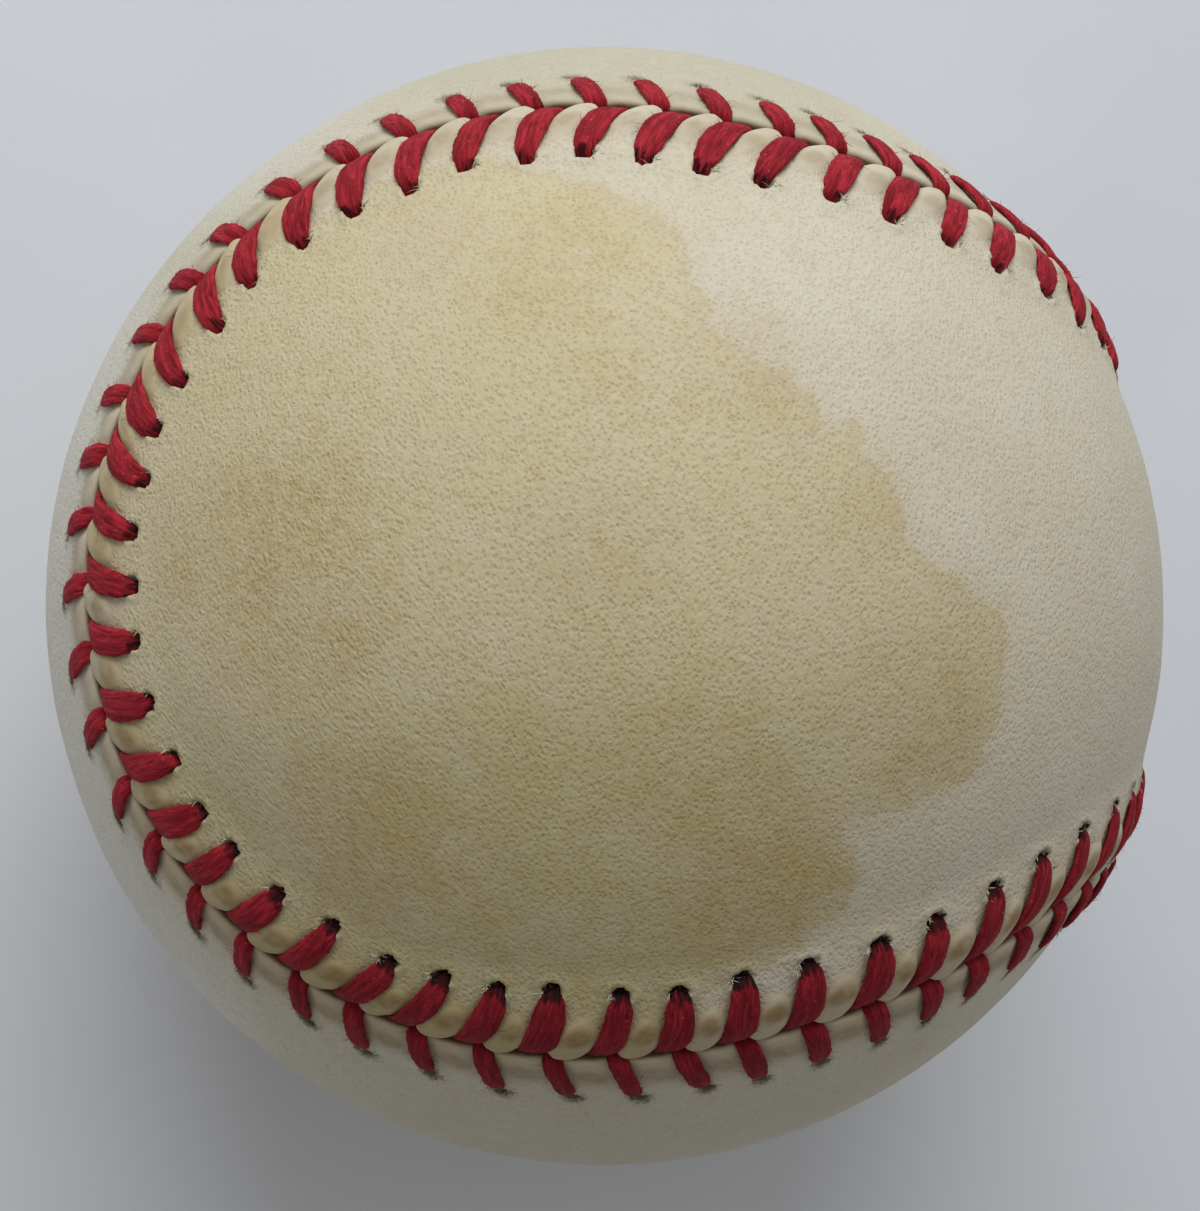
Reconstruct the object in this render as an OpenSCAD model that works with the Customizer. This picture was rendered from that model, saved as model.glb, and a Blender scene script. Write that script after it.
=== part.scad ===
/* [Core] */
// Diameter of the composition cork core
cork_diameter = 20.6; // [14:0.1:26]
// Wall of the two black rubber half shells round the cork
black_rubber_thickness = 3.95; // [2:0.05:6]
// Height of the gasket between the two half shells
gasket_height = 1.6; // [0.8:0.1:3]
// Wall of the red rubber layer that closes the pill
red_rubber_thickness = 2.35; // [1.2:0.05:4]

/* [Windings] */
// Build-up of the four-ply grey wool
inner_wool_thickness = 14.55; // [8:0.05:18]
// Build-up of the three-ply white wool
white_wool_thickness = 1.75; // [1:0.05:4]
// Build-up of the three-ply grey wool
outer_wool_thickness = 2.2; // [1:0.05:4]
// Build-up of the fine cotton finishing yarn
finish_cotton_thickness = 0.45; // [0.3:0.05:1.5]

/* [Cover] */
// Thickness of the leather panels
leather_thickness = 1.2; // [1:0.05:1.6]
// Width of a panel's waist, from seam to seam along the surface
panel_waist = 33; // [27:0.5:38]
// How far a panel's lobes swell, as a share of the seam's main wave
lobe_swell_share = 0.465; // [0.4:0.005:0.5]
// Gap between the two panels along the seam
seam_gap = 0.5; // [0.45:0.05:0.8]
// Height of the leather lip over the round of the ball
lip_height = 0.75; // [0.4:0.05:1]
// Rise of the leather between two stitches over the leather under them
pucker_height = 0.3; // [0.1:0.05:0.5]
// Distance from the seam to the lip's crest
lip_crest = 1.3; // [1:0.1:1.8]
// Width of the lip's foot beyond the stitch holes
lip_foot = 0.8; // [0.5:0.1:1.4]

/* [Stitches] */
// Number of double stitches round the seam
stitch_count = 108; // [88:1:116]
// Place of the first stitch, as a share of the stitch spacing
first_stitch_share = 0.33; // [0:0.01:1]
// Distance from the seam to the stitch holes
hole_distance = 4.9; // [4.2:0.1:5.4]
// Diameter of the stitch holes
hole_diameter = 1.4; // [1.3:0.05:1.6]
// How far the holes lie behind the point of their stitch, along the seam
hole_lag = 1.4; // [0.8:0.1:1.8]
// Width of the thread where it lies over the leather
thread_width = 1.5; // [1.2:0.05:1.7]
// Thickness of the thread where it lies over the leather
thread_thickness = 0.5; // [0.3:0.05:0.6]

/* [Hidden] */
$fn = 96;

// Clearance between one layer and the next
layer_gap = 0.05;
// Overrun of every cut past the surface that it opens
cut = 0.3;
// Clearance between the thread and the leather that it lies on or passes
thread_gap = 0.08;

cork_r = cork_diameter / 2;
black_rubber_in = cork_r + layer_gap;
black_rubber_out = black_rubber_in + black_rubber_thickness;
red_rubber_in = black_rubber_out + layer_gap;
red_rubber_out = red_rubber_in + red_rubber_thickness;
inner_wool_in = red_rubber_out + layer_gap;
inner_wool_out = inner_wool_in + inner_wool_thickness;
white_wool_in = inner_wool_out + layer_gap;
white_wool_out = white_wool_in + white_wool_thickness;
outer_wool_in = white_wool_out + layer_gap;
outer_wool_out = outer_wool_in + outer_wool_thickness;
finish_cotton_in = outer_wool_out + layer_gap;
finish_cotton_out = finish_cotton_in + finish_cotton_thickness;
leather_in = finish_cotton_out + layer_gap;
ball_r = leather_in + leather_thickness;

// Distance from the seam to the outer foot of the lip
lip_width = hole_distance + hole_diameter / 2 + lip_foot;

// Thread under the leather, and the room that the lifted lip leaves it
bedded_thread_thickness = 0.36;
thread_room = bedded_thread_thickness + 2 * thread_gap;
thread_room_width = hole_distance + hole_diameter / 2 + thread_gap;
bedded_thread_r = leather_in + thread_gap + bedded_thread_thickness / 2;
// Thread where it goes down between the panels, turned along the seam
tucked_thread_width = 0.7;
tucked_thread_thickness = seam_gap - 2 * thread_gap;
// Thread in the holes
hole_thread_width = hole_diameter - 4 * thread_gap;
// Where the thread off panel a goes down past the point of the stitch, along the seam
tuck_lead = 0.9;

// The seam as a closed wave on the unit ball, with one panel's waist on +X and its lobes on +Z and -Z
waist_angle = 90 * panel_waist / (PI * ball_r);
seam_rise_share = (1 - lobe_swell_share) / tan(waist_angle);

function unit(v) = v / norm(v);
function seam_way(turn) = unit([
    -seam_rise_share * cos(2 * turn),
    sin(turn) + lobe_swell_share * sin(3 * turn),
    cos(turn) - lobe_swell_share * cos(3 * turn)
]);

// Turn of the seam against the length run along it, so that stitches are evenly spaced
turn_step = 0.5;
seam_run = [
    for (turn = 0, run = 0; turn <= 360;
         run = run + norm(seam_way(turn + turn_step) - seam_way(turn)), turn = turn + turn_step)
    [run, turn]
];
seam_length = seam_run[len(seam_run) - 1][0];
stitch_pitch = seam_length / stitch_count;
function wrapped(run) = run - seam_length * floor(run / seam_length);
function seam_turn(run) = lookup(wrapped(run), seam_run);

// A point at a run along the seam, a distance across it (positive on panel b) and a radius
function seam_point(run, across, radius) =
    let (
        turn = seam_turn(run),
        out = seam_way(turn),
        along = unit(seam_way(turn + turn_step) - seam_way(turn - turn_step)),
        side = cross(out, along),
        angle = across / ball_r * 180 / PI
    ) radius * (out * cos(angle) + side * sin(angle));
function stitch_run(i, ahead) = (i + first_stitch_share) * stitch_pitch + ahead / ball_r;
// How far the thread lags behind its point at a distance across the seam
function lag(across) = hole_lag * min(1, abs(across) / hole_distance);

// Closed tube through rings of equal count, each a list of points
module closed_tube(rings) {
    n = len(rings);
    m = len(rings[0]);
    points = [for (ring = rings) each ring];
    faces = [
        for (i = [0 : n - 1], j = [0 : m - 1])
            let (
                a = i * m + j,
                b = i * m + (j + 1) % m,
                c = ((i + 1) % n) * m + (j + 1) % m,
                d = ((i + 1) % n) * m + j
            ) each [[a, b, c], [a, c, d]]
    ];
    polyhedron(points, faces, convexity = 10);
}

// The lip's rise over the ball at a distance from the seam: a quarter at the seam, where it starts just
// past the middle, whole at the crest, and down to a third at the stitch holes
lip_profile = [
    [-cut, lip_height / 4],
    [lip_crest, lip_height],
    [hole_distance, lip_height / 3],
    [lip_width, -cut],
];
function lip_rise(across) = lookup(across, lip_profile);
// Share of the pucker at the same four places
pucker_shares = [[-cut, 0.25], [lip_crest, 1], [hole_distance, 0.5], [lip_width, 0]];

// The raised lip on one side of the seam: two rings to a stitch, one under the thread and one on the
// pucker between two stitches
module lip_ring(side) {
    outward = [-cut, lip_crest, hole_distance, lip_width];
    inward = [lip_width, hole_distance, lip_crest, -cut];
    places = side < 0 ? inward : outward;
    closed_tube([
        for (i = [0 : 2 * stitch_count - 1])
            let (pucker = i % 2 == 0 ? 0 : pucker_height)
            concat(
                [
                    for (place = places)
                        seam_point(
                            stitch_run(i / 2, -lag(place)), side * place,
                            ball_r + lip_rise(place) + pucker * lookup(place, pucker_shares))
                ],
                [
                    for (place = [places[3], places[0]])
                        seam_point(
                            stitch_run(i / 2, -lag(place)), side * place,
                            ball_r - leather_thickness / 2)
                ])
    ]);
}

// The room under both lips where the thread runs
module thread_room_ring() {
    closed_tube([
        for (i = [0 : stitch_count - 1])
            concat(
                [
                    for (share = [-1, -1 / 3, 1 / 3, 1])
                        seam_point(
                            i * stitch_pitch, share * thread_room_width,
                            leather_in + thread_room)
                ],
                [
                    for (share = [1, -1])
                        seam_point(
                            i * stitch_pitch, share * thread_room_width,
                            leather_in - cut)
                ])
    ]);
}

// Reach of the cone that cuts out a panel, as a share of the ball's radius
cap_share = 1.4;

// Everything on panel a's side of the seam: a cone from the centre whose cap lies outside the ball.
// Half the seam and its mirror image in y bound it, and a row of the cap joins each pair of their points.
module panel_a_cone() {
    steps = stitch_count;
    cap_r = cap_share * ball_r;
    shares = [-1, 0, 1];
    across = len(shares);
    edge = [
        for (i = [0 : steps])
            seam_point(i * seam_length / (2 * steps), -seam_gap / 2, 1)
    ];
    points = concat(
        [[0, 0, 0], cap_r * edge[0]],
        [
            for (i = [1 : steps - 1], share = shares)
                cap_r * unit([edge[i].x, share * edge[i].y, edge[i].z])
        ],
        [cap_r * edge[steps]]);
    function at(i, j) = 2 + (i - 1) * across + j;
    last = len(points) - 1;
    faces = concat(
        [for (j = [0 : across - 2]) [1, at(1, j + 1), at(1, j)]],
        [
            for (i = [1 : steps - 2], j = [0 : across - 2])
                each [
                    [at(i, j), at(i, j + 1), at(i + 1, j + 1)],
                    [at(i, j), at(i + 1, j + 1), at(i + 1, j)],
                ]
        ],
        [for (j = [0 : across - 2]) [last, at(steps - 1, j), at(steps - 1, j + 1)]],
        [[0, 1, at(1, 0)], [0, at(1, across - 1), 1]],
        [
            for (i = [1 : steps - 2])
                each [
                    [0, at(i, 0), at(i + 1, 0)],
                    [0, at(i + 1, across - 1), at(i, across - 1)],
                ]
        ],
        [[0, at(steps - 1, 0), last], [0, last, at(steps - 1, across - 1)]]);
    polyhedron(points, faces, convexity = 10);
}

// Panel b's side is panel a's, turned half way round the axis between the two panels
module panel_b_cone() {
    rotate(180, [0, 1, 1]) panel_a_cone();
}

// Radial holes for the thread on one side of the seam
module stitch_holes(side) {
    for (i = [0 : stitch_count - 1]) {
        way = unit(seam_point(stitch_run(i, -hole_lag), side * hole_distance, 1));
        rotate([0, acos(way.z), atan2(way.y, way.x)])
            translate([0, 0, leather_in - cut])
                cylinder(h = leather_thickness + lip_height + 2 * cut, d = hole_diameter, $fn = 24);
    }
}

module layer(inner, outer) {
    difference() {
        sphere(r = outer);
        sphere(r = inner);
    }
}

// The whole cover with the lip on one side of the seam. The poles of its round are turned out of the way
// of the panel that is cut from it.
module cover(side, pole_turn) {
    difference() {
        union() {
            rotate(pole_turn) sphere(r = ball_r);
            lip_ring(side);
        }
        rotate(pole_turn) sphere(r = leather_in);
        thread_room_ring();
    }
}

module cork_core() {
    color("#b98a55") sphere(r = cork_r);
}

module black_rubber_half() {
    intersection() {
        layer(black_rubber_in, black_rubber_out);
        translate([-ball_r, -ball_r, gasket_height / 2 + layer_gap])
            cube([2 * ball_r, 2 * ball_r, ball_r]);
    }
}

module black_rubber_shell_upper() {
    color("#242424") black_rubber_half();
}

module black_rubber_shell_lower() {
    color("#242424") mirror([0, 0, 1]) black_rubber_half();
}

module red_rubber_gasket() {
    color("#9c2a25") intersection() {
        layer(black_rubber_in, black_rubber_out);
        translate([-ball_r, -ball_r, -gasket_height / 2])
            cube([2 * ball_r, 2 * ball_r, gasket_height]);
    }
}

module red_rubber_cover() {
    color("#a8322b") layer(red_rubber_in, red_rubber_out);
}

module grey_wool_winding_inner() {
    color("#8f8d88") layer(inner_wool_in, inner_wool_out);
}

module white_wool_winding() {
    color("#e4e0d4") layer(white_wool_in, white_wool_out);
}

module grey_wool_winding_outer() {
    color("#9a9892") layer(outer_wool_in, outer_wool_out);
}

module cotton_finish_winding() {
    color("#ece7d8") layer(finish_cotton_in, finish_cotton_out);
}

module cover_panel_a() {
    color("#d9d0b0") difference() {
        intersection() {
            cover(-1, [90, 0, 0]);
            panel_a_cone();
        }
        stitch_holes(-1);
    }
}

module cover_panel_b() {
    color("#d9d3ba") difference() {
        intersection() {
            cover(1, [0, 0, 0]);
            panel_b_cone();
        }
        stitch_holes(1);
    }
}

// One end of the thread: over the lip of one panel, down the seam, under the other panel and up its hole,
// and so on round the ball. It starts on the panel that side gives.
module thread_end(first_side) {
    closed_tube([
        for (i = [0 : stitch_count - 1])
            each stitch_rings(i, i % 2 == 0 ? first_side : -first_side)
    ]);
}

// Five rings of one stitch: hole foot, hole mouth, lip crest, seam mouth and seam foot
function stitch_rings(i, side) =
    let (
        lead = side < 0 ? tuck_lead : 0,
        over = thread_gap + thread_thickness / 2
    ) [
        thread_ring(i, side, -hole_lag, hole_distance, bedded_thread_r + thread_gap, 135,
            hole_thread_width, bedded_thread_thickness, false),
        thread_ring(i, side, -hole_lag, hole_distance, ball_r + lip_rise(hole_distance) + over, 45,
            hole_thread_width, thread_thickness, false),
        thread_ring(i, side, -lag(lip_crest), lip_crest, ball_r + lip_height + over + thread_gap, -15,
            thread_width, thread_thickness, false),
        thread_ring(i, side, lead, 0, ball_r + lip_height + thread_gap, -75,
            tucked_thread_width, tucked_thread_thickness, true),
        thread_ring(i, side, lead, 0, bedded_thread_r, -45,
            tucked_thread_width, tucked_thread_thickness, true),
    ];

// One six-sided ring of thread, flat on the ball at tilt 0 and on end at tilt 90. Its width lies across
// the stitch, or along the seam where the thread is tucked between the panels. The thread bends back on
// itself from one stitch to the next, so every second stitch has its other face up.
function thread_ring(i, side, ahead, across, radius, tilt, width, thickness, tucked) =
    let (
        run = stitch_run(i, ahead),
        centre = seam_point(run, side * across, radius),
        out = unit(centre),
        step = stitch_pitch / 10,
        along = unit(seam_point(run + step, side * across, 1) - seam_point(run - step, side * across, 1)),
        inward = seam_point(stitch_run(i, 0), 0, 1)
            - seam_point(stitch_run(i, -hole_lag), side * hole_distance, 1),
        heading = tucked ? -side * unit(cross(out, along)) : unit(inward - (inward * out) * out),
        face = i % 2 == 0 ? 1 : -1,
        wide = face * cross(out, heading),
        deep = face * (out * cos(tilt) - heading * sin(tilt))
    ) [
        for (k = [0 : 5])
            let (angle = -60 * k)
            centre + wide * (width / 2 * cos(angle)) + deep * (thickness / 2 * sin(angle) / sin(60))
    ];

module thread_first_end() {
    color("#a3222c") thread_end(-1);
}

module thread_second_end() {
    color("#a3222c") thread_end(1);
}

cork_core();
black_rubber_shell_upper();
black_rubber_shell_lower();
red_rubber_gasket();
red_rubber_cover();
grey_wool_winding_inner();
white_wool_winding();
grey_wool_winding_outer();
cotton_finish_winding();
cover_panel_a();
cover_panel_b();
thread_first_end();
thread_second_end();
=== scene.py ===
"""A stitched leather baseball on a pale table, seen from above."""
import math

import bpy
import numpy as np
from mathutils import Matrix, Vector


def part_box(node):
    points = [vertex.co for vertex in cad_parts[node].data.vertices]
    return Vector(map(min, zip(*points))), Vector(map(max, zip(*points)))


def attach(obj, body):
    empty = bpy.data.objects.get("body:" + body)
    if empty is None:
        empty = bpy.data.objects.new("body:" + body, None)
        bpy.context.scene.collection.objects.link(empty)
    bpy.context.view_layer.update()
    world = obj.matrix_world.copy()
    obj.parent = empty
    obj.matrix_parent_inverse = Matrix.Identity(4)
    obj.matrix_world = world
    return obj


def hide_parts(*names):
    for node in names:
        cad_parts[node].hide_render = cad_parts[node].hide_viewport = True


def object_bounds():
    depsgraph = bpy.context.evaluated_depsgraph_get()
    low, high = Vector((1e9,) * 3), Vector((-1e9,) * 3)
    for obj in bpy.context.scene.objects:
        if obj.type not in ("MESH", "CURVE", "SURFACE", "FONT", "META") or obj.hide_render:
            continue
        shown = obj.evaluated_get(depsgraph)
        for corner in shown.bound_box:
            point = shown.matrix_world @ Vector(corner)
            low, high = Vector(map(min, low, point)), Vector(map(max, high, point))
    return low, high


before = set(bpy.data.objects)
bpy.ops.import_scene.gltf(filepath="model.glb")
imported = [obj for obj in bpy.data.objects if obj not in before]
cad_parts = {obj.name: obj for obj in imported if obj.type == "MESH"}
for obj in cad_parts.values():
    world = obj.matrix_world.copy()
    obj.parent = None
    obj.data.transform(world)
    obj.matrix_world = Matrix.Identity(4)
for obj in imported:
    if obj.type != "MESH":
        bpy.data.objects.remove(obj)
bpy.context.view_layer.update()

# Lengths are in millimetres and heights are over the round of the ball, unless a comment says otherwise
MM = 0.001
LAYER_GAP = 0.05
LEATHER_THICKNESS = 1.2
WINDING_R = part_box("cotton_finish_winding")[1].x / MM
LEATHER_IN = WINDING_R + LAYER_GAP
BALL_R = LEATHER_IN + LEATHER_THICKNESS

# Panels: the sign of a distance across the seam on either one
PANEL_A = -1
PANEL_B = 1


def by_panel(a, b):
    """A value that differs between panel a and panel b."""
    return {PANEL_A: a, PANEL_B: b}


# Seam and stitches
PANEL_WAIST = 33.0
LOBE_SWELL_SHARE = 0.465
STITCH_COUNT = 108
FIRST_STITCH_SHARE = 0.33
THREAD_FOOT = -0.94

# Holes: distance from the seam, and how far ahead of their stitch they lie
HOLE_DISTANCE = by_panel(4.42, 4.45)
HOLE_AHEAD = by_panel(-1.35, -1.4)

# Where the seam strays across itself, and stitches and holes along it: at which stitch, over how many
# stitches, and how far
SEAM_STRAYS = ((16.8, 4.6, -1.8), (0.5, 5.0, 0.4), (88.0, 1.5, -0.6))
STITCH_DRIFTS = ((18.5, 3.6, -1.1), (8.5, 4.5, 0.35), (0.5, 2.2, 0.35), (102.5, 2.0, -0.2))
HOLE_DRIFTS = by_panel(
    ((93.5, 4.6, 1.1), (99.5, 1.3, -0.5), (103.0, 1.0, 0.5), (106.5, 2.0, 0.45), (3.4, 3.0, -0.5),
     (9.2, 1.5, 0.2), (14.5, 1.6, -0.5)),
    ((95.2, 1.8, -0.25), (1.0, 2.8, 0.3), (8.0, 4.0, -0.25), (102.5, 2.0, 0.2)),
)


def unit(v):
    """Vectors at a length of one."""
    return v / np.linalg.norm(v, axis=-1, keepdims=True)


def mixed(ways, shares):
    """Ways added up, each times its own shares."""
    return sum(way * share[:, None] for way, share in zip(ways, shares))


def smooth(low, high, x):
    """0 below low, 1 above high and a smooth rise between; a fall instead where high is under low."""
    share = np.clip((x - low) / (high - low), 0, 1)
    return share * share * (3 - 2 * share)


def noise(points, seed):
    """Smooth value noise from -1 to 1 at points, one cell to a unit; large numbers mix up the cells."""
    cell = np.floor(points).astype(np.int64)
    part = points - cell
    part = part * part * (3 - 2 * part)
    total = np.zeros(points.shape[:-1])
    for corner in np.ndindex(2, 2, 2):
        at = cell + np.array(corner)
        mixed = at[..., 0] * 73856093 ^ at[..., 1] * 19349663 ^ at[..., 2] * 83492791 ^ seed * 2654435761
        mixed = (mixed ^ mixed >> 13) * 1274126177 & 0xFFFFFFFF
        value = (mixed ^ mixed >> 15) % 65521 / 32760 - 1
        total += value * np.prod(np.where(corner, part, 1 - part), axis=-1)
    return total


def noises(points, layers):
    """The sum of noises at points, each with a length, a height and a seed."""
    return sum(height * noise(points / length, seed) for length, height, seed in layers)


# The seam, a closed wave on the unit ball with panel a's waist on +X and its lobes on +Z and -Z
WAIST_ANGLE = math.radians(90 * PANEL_WAIST / (math.pi * BALL_R))
SEAM_RISE_SHARE = (1 - LOBE_SWELL_SHARE) / math.tan(WAIST_ANGLE)
TURN_STEPS = 720
TURN_STEP = math.radians(360 / TURN_STEPS)


def seam_way(turn):
    """The unit direction of the seam at a turn round the ball."""
    return unit(np.stack([
        -SEAM_RISE_SHARE * np.cos(2 * turn),
        np.sin(turn) + LOBE_SWELL_SHARE * np.sin(3 * turn),
        np.cos(turn) - LOBE_SWELL_SHARE * np.cos(3 * turn),
    ], axis=-1))


def length_along(line):
    """The length of a line from its first point to each of its points."""
    return np.concatenate([[0], np.cumsum(np.linalg.norm(np.diff(line, axis=0), axis=1))])


SEAM_TURNS = np.arange(TURN_STEPS + 1) * TURN_STEP
SEAM_RUNS = BALL_R * length_along(seam_way(SEAM_TURNS))
SEAM_LENGTH = SEAM_RUNS[-1]
STITCH_PITCH = SEAM_LENGTH / STITCH_COUNT


def stray(strays, place):
    """How far something strays at a place, counted in stitches along the seam."""
    total = 0.0
    for stitch, spread, most in strays:
        ahead = np.mod(place - stitch + STITCH_COUNT / 2, STITCH_COUNT) - STITCH_COUNT / 2
        total = total + most * np.exp(-(ahead / spread) ** 2)
    return total


def seam_point(run, across, height):
    """A point at a run along the seam, a distance across it (positive on panel b) and a height."""
    turn = np.interp(np.mod(run, SEAM_LENGTH), SEAM_RUNS, SEAM_TURNS)
    out = seam_way(turn)
    along = unit(seam_way(turn + TURN_STEP) - seam_way(turn - TURN_STEP))
    side = np.cross(out, along)
    angle = ((across + stray(SEAM_STRAYS, run / STITCH_PITCH)) / BALL_R)[..., None]
    return (BALL_R + height)[..., None] * (out * np.cos(angle) + side * np.sin(angle))


# How each stitch differs from the next
draw = np.random.default_rng(108)
STITCHES = np.arange(STITCH_COUNT)


def scatter(spread, most, middle=0):
    """By panel, a value for each stitch that lies at random round a middle."""
    return by_panel(*(draw.normal(0, spread, (2, STITCH_COUNT)).clip(-most, most) + middle))


HOLE_ACROSS_SHIFT = scatter(0.14, 0.3)
STITCH_SHIFT = scatter(0.08, 0.2, stray(STITCH_DRIFTS, STITCHES))
HOLE_SHIFT = scatter(0.12, 0.3, [stray(drifts, STITCHES) for drifts in HOLE_DRIFTS.values()])
STRAND_SCALE = scatter(0.06, 0.12, 1)
PILLOW_SCALE = scatter(0.10, 0.2, 1)

# A strand from the foot of its hole to its foot in the seam, as rows of: how far ahead of its stitch,
# distance from the seam, height, width and thickness
STRAND_STOPS = by_panel(
    np.array([
        [-1.41, 4.44, -0.94, 0.50, 0.34],
        [-1.41, 4.44, -0.30, 0.74, 0.42],
        [-1.39, 4.36, 0.08, 1.00, 0.44],
        [-1.33, 4.12, 0.36, 1.28, 0.46],
        [-1.17, 3.60, 0.55, 1.54, 0.46],
        [-0.94, 2.95, 0.69, 1.68, 0.46],
        [-0.67, 2.25, 0.76, 1.74, 0.46],
        [-0.38, 1.55, 0.74, 1.78, 0.46],
        [-0.08, 0.90, 0.62, 1.78, 0.44],
        [0.22, 0.35, 0.44, 1.62, 0.40],
        [0.56, -0.05, 0.20, 1.26, 0.34],
        [0.98, -0.30, -0.10, 0.80, 0.30],
        [1.35, -0.40, -0.94, 0.45, 0.30],
    ]),
    np.array([
        [-1.34, 4.24, -0.94, 0.46, 0.34],
        [-1.34, 4.24, -0.30, 0.66, 0.40],
        [-1.32, 4.14, 0.08, 0.84, 0.40],
        [-1.26, 3.80, 0.30, 1.02, 0.42],
        [-1.15, 3.25, 0.45, 1.18, 0.42],
        [-1.02, 2.60, 0.56, 1.28, 0.42],
        [-0.88, 1.95, 0.63, 1.34, 0.42],
        [-0.74, 1.35, 0.66, 1.36, 0.40],
        [-0.63, 0.90, 0.60, 1.34, 0.38],
        [-0.54, 0.62, 0.36, 1.26, 0.34],
        [-0.46, 0.45, -0.25, 0.96, 0.30],
        [-0.42, 0.38, -0.94, 0.55, 0.30],
    ]),
)
AHEAD, DISTANCE, HEIGHT, WIDTH, _ = range(5)


def ways_at(panel, run, distance):
    """Unit directions along the seam, away from it and out of the ball."""
    step = 0.1
    flat = np.zeros_like(run)
    along = seam_point(run + step, panel * distance, flat) - seam_point(run - step, panel * distance, flat)
    away = seam_point(run, panel * (distance + step), flat) - seam_point(run, panel * (distance - step), flat)
    return unit(along), unit(away), unit(seam_point(run, panel * distance, flat))


def strand_stop(panel, distance, column):
    """What a column of a strand's stops says at a distance from the seam."""
    stops = STRAND_STOPS[panel][::-1]
    return np.interp(distance, stops[:, DISTANCE], stops[:, column])


def hole_share(panel, distance):
    """How much of its hole's shift a strand takes at a distance from the seam."""
    return np.clip(distance / HOLE_DISTANCE[panel], 0, 1)


def stitch_run(panel, stitch, distance):
    """The run of a stitch, with its share of its hole's shift at a distance from the seam."""
    run = (stitch + FIRST_STITCH_SHARE) * STITCH_PITCH + STITCH_SHIFT[panel][stitch]
    return run + hole_share(panel, distance) * HOLE_SHIFT[panel][stitch]


def stitch_near(panel, run, distance, ahead):
    """The stitch nearest to a run at a distance from the seam, and how far past it the run lies."""
    middles = stitch_run(panel, STITCHES, distance[..., None]) + ahead[..., None]
    past = np.mod(run[..., None] - middles + SEAM_LENGTH / 2, SEAM_LENGTH) - SEAM_LENGTH / 2
    index = np.argmin(np.abs(past), axis=-1)
    return index, np.take_along_axis(past, index[..., None], axis=-1)[..., 0]


# The lip of a panel: its width and height, where its crest lies, and how its front falls to the seam
LIP_WIDTH = 6.6
LIP_CREST = 1.4
LIP_TOP = by_panel(0.60, 0.46)
FRONT_FALL = by_panel(0.40, 0.0)
FRONT_DEPTH = 2.2

# The valley that a strand presses into the lip: its depth, the distances from the seam over which it
# ends, and how far its floor and its wall reach on either side
VALLEY_DROP = 0.10
VALLEY_END = (3.0, 4.4)
VALLEY_FLOOR_REACH = 0.7
VALLEY_WALL_REACH = 1.3

# The pillow between two strands: its height, how far from the seam its middle lies, how far it reaches
# away from the seam, towards it and along it, and the noise in its outline
PILLOW_TOP = by_panel(0.32, 0.12)
PILLOW_MIDDLE = by_panel(1.05, 1.0)
PILLOW_INWARD = by_panel(2.1, 1.5)
PILLOW_OUTWARD = by_panel(1.85, 0.9)
PILLOW_ALONG = by_panel(1.18, 1.35)
PILLOW_WANDER = ((0.7, 0.05, 15),)
PILLOW_END_SHARE = 1.06

# The rubbed spot between two strands: how far from the seam, how far it reaches, and how deep it is
RUB_MIDDLE = by_panel(1.9, 2.1)
RUB_ALONG = by_panel(0.90, 1.15)
RUB_ACROSS = by_panel(0.85, 0.95)
RUB_DENT = by_panel(0.05, 0.12)

# The edge of a lip: how far it stands back under a strand, how much nearer it comes between two, over
# which share of the pitch on either side, with which power of a parabola, and how round it is
EDGE_BACK = by_panel(0.36, 0.70)
EDGE_REACH = by_panel(0.80, 0.20)
SCALLOP_SHARE = 0.36
SCALLOP_POWER = 0.6
EDGE_ROUND = by_panel(0.34, 0.28)

# Holes: their reach along the seam and across it, how far they lie beyond their strand's foot, their
# depth, the noises in their outline, and the shares of their reach at which wall and rim stand
HOLE_REACH_ALONG = by_panel(0.56, 0.48)
HOLE_REACH_ACROSS = by_panel(0.48, 0.28)
HOLE_BEYOND = by_panel(0.10, 0.0)
HOLE_FLOOR = -0.7
HOLE_RAGGED = ((0.33, 0.16, 21), (0.16, 0.1, 22))
HOLE_WALL_SHARES = (0.66, 1.05)
RIM_TOP = 0.10
RIM_SHARE = 1.4
RIM_WIDTH_SHARE = 0.4

# The smudge beside a hole, part dirt and part painted shade: how far past the hole and beyond it its middle
# lies, and how far it reaches
SMUDGE_AND_SHADE_PAST = by_panel(0.5, -0.22)
SMUDGE_AND_SHADE_BEYOND = by_panel(0.22, 0.42)
SMUDGE_AND_SHADE_ALONG = by_panel(0.95, 0.74)
SMUDGE_AND_SHADE_ACROSS = by_panel(0.62, 0.92)

# The ball's slow rise and fall, and the finer ones of its leather
UNEVENNESS = ((9.0, 0.06, 11), (3.1, 0.03, 12), (1.3, 0.012, 13))


def lip_edge(panel, run):
    """Distance from the seam to the edge of a panel's lip, which is nearest between two stitches."""
    near = np.full_like(run, EDGE_BACK[panel])
    _, past = stitch_near(panel, run, near, strand_stop(panel, near, AHEAD))
    middle = (STITCH_PITCH / 2 - np.abs(past)) / (SCALLOP_SHARE * STITCH_PITCH)
    scallop = np.clip(1 - middle ** 2, 0, 1) ** SCALLOP_POWER
    return EDGE_BACK[panel] - EDGE_REACH[panel] * scallop


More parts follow.
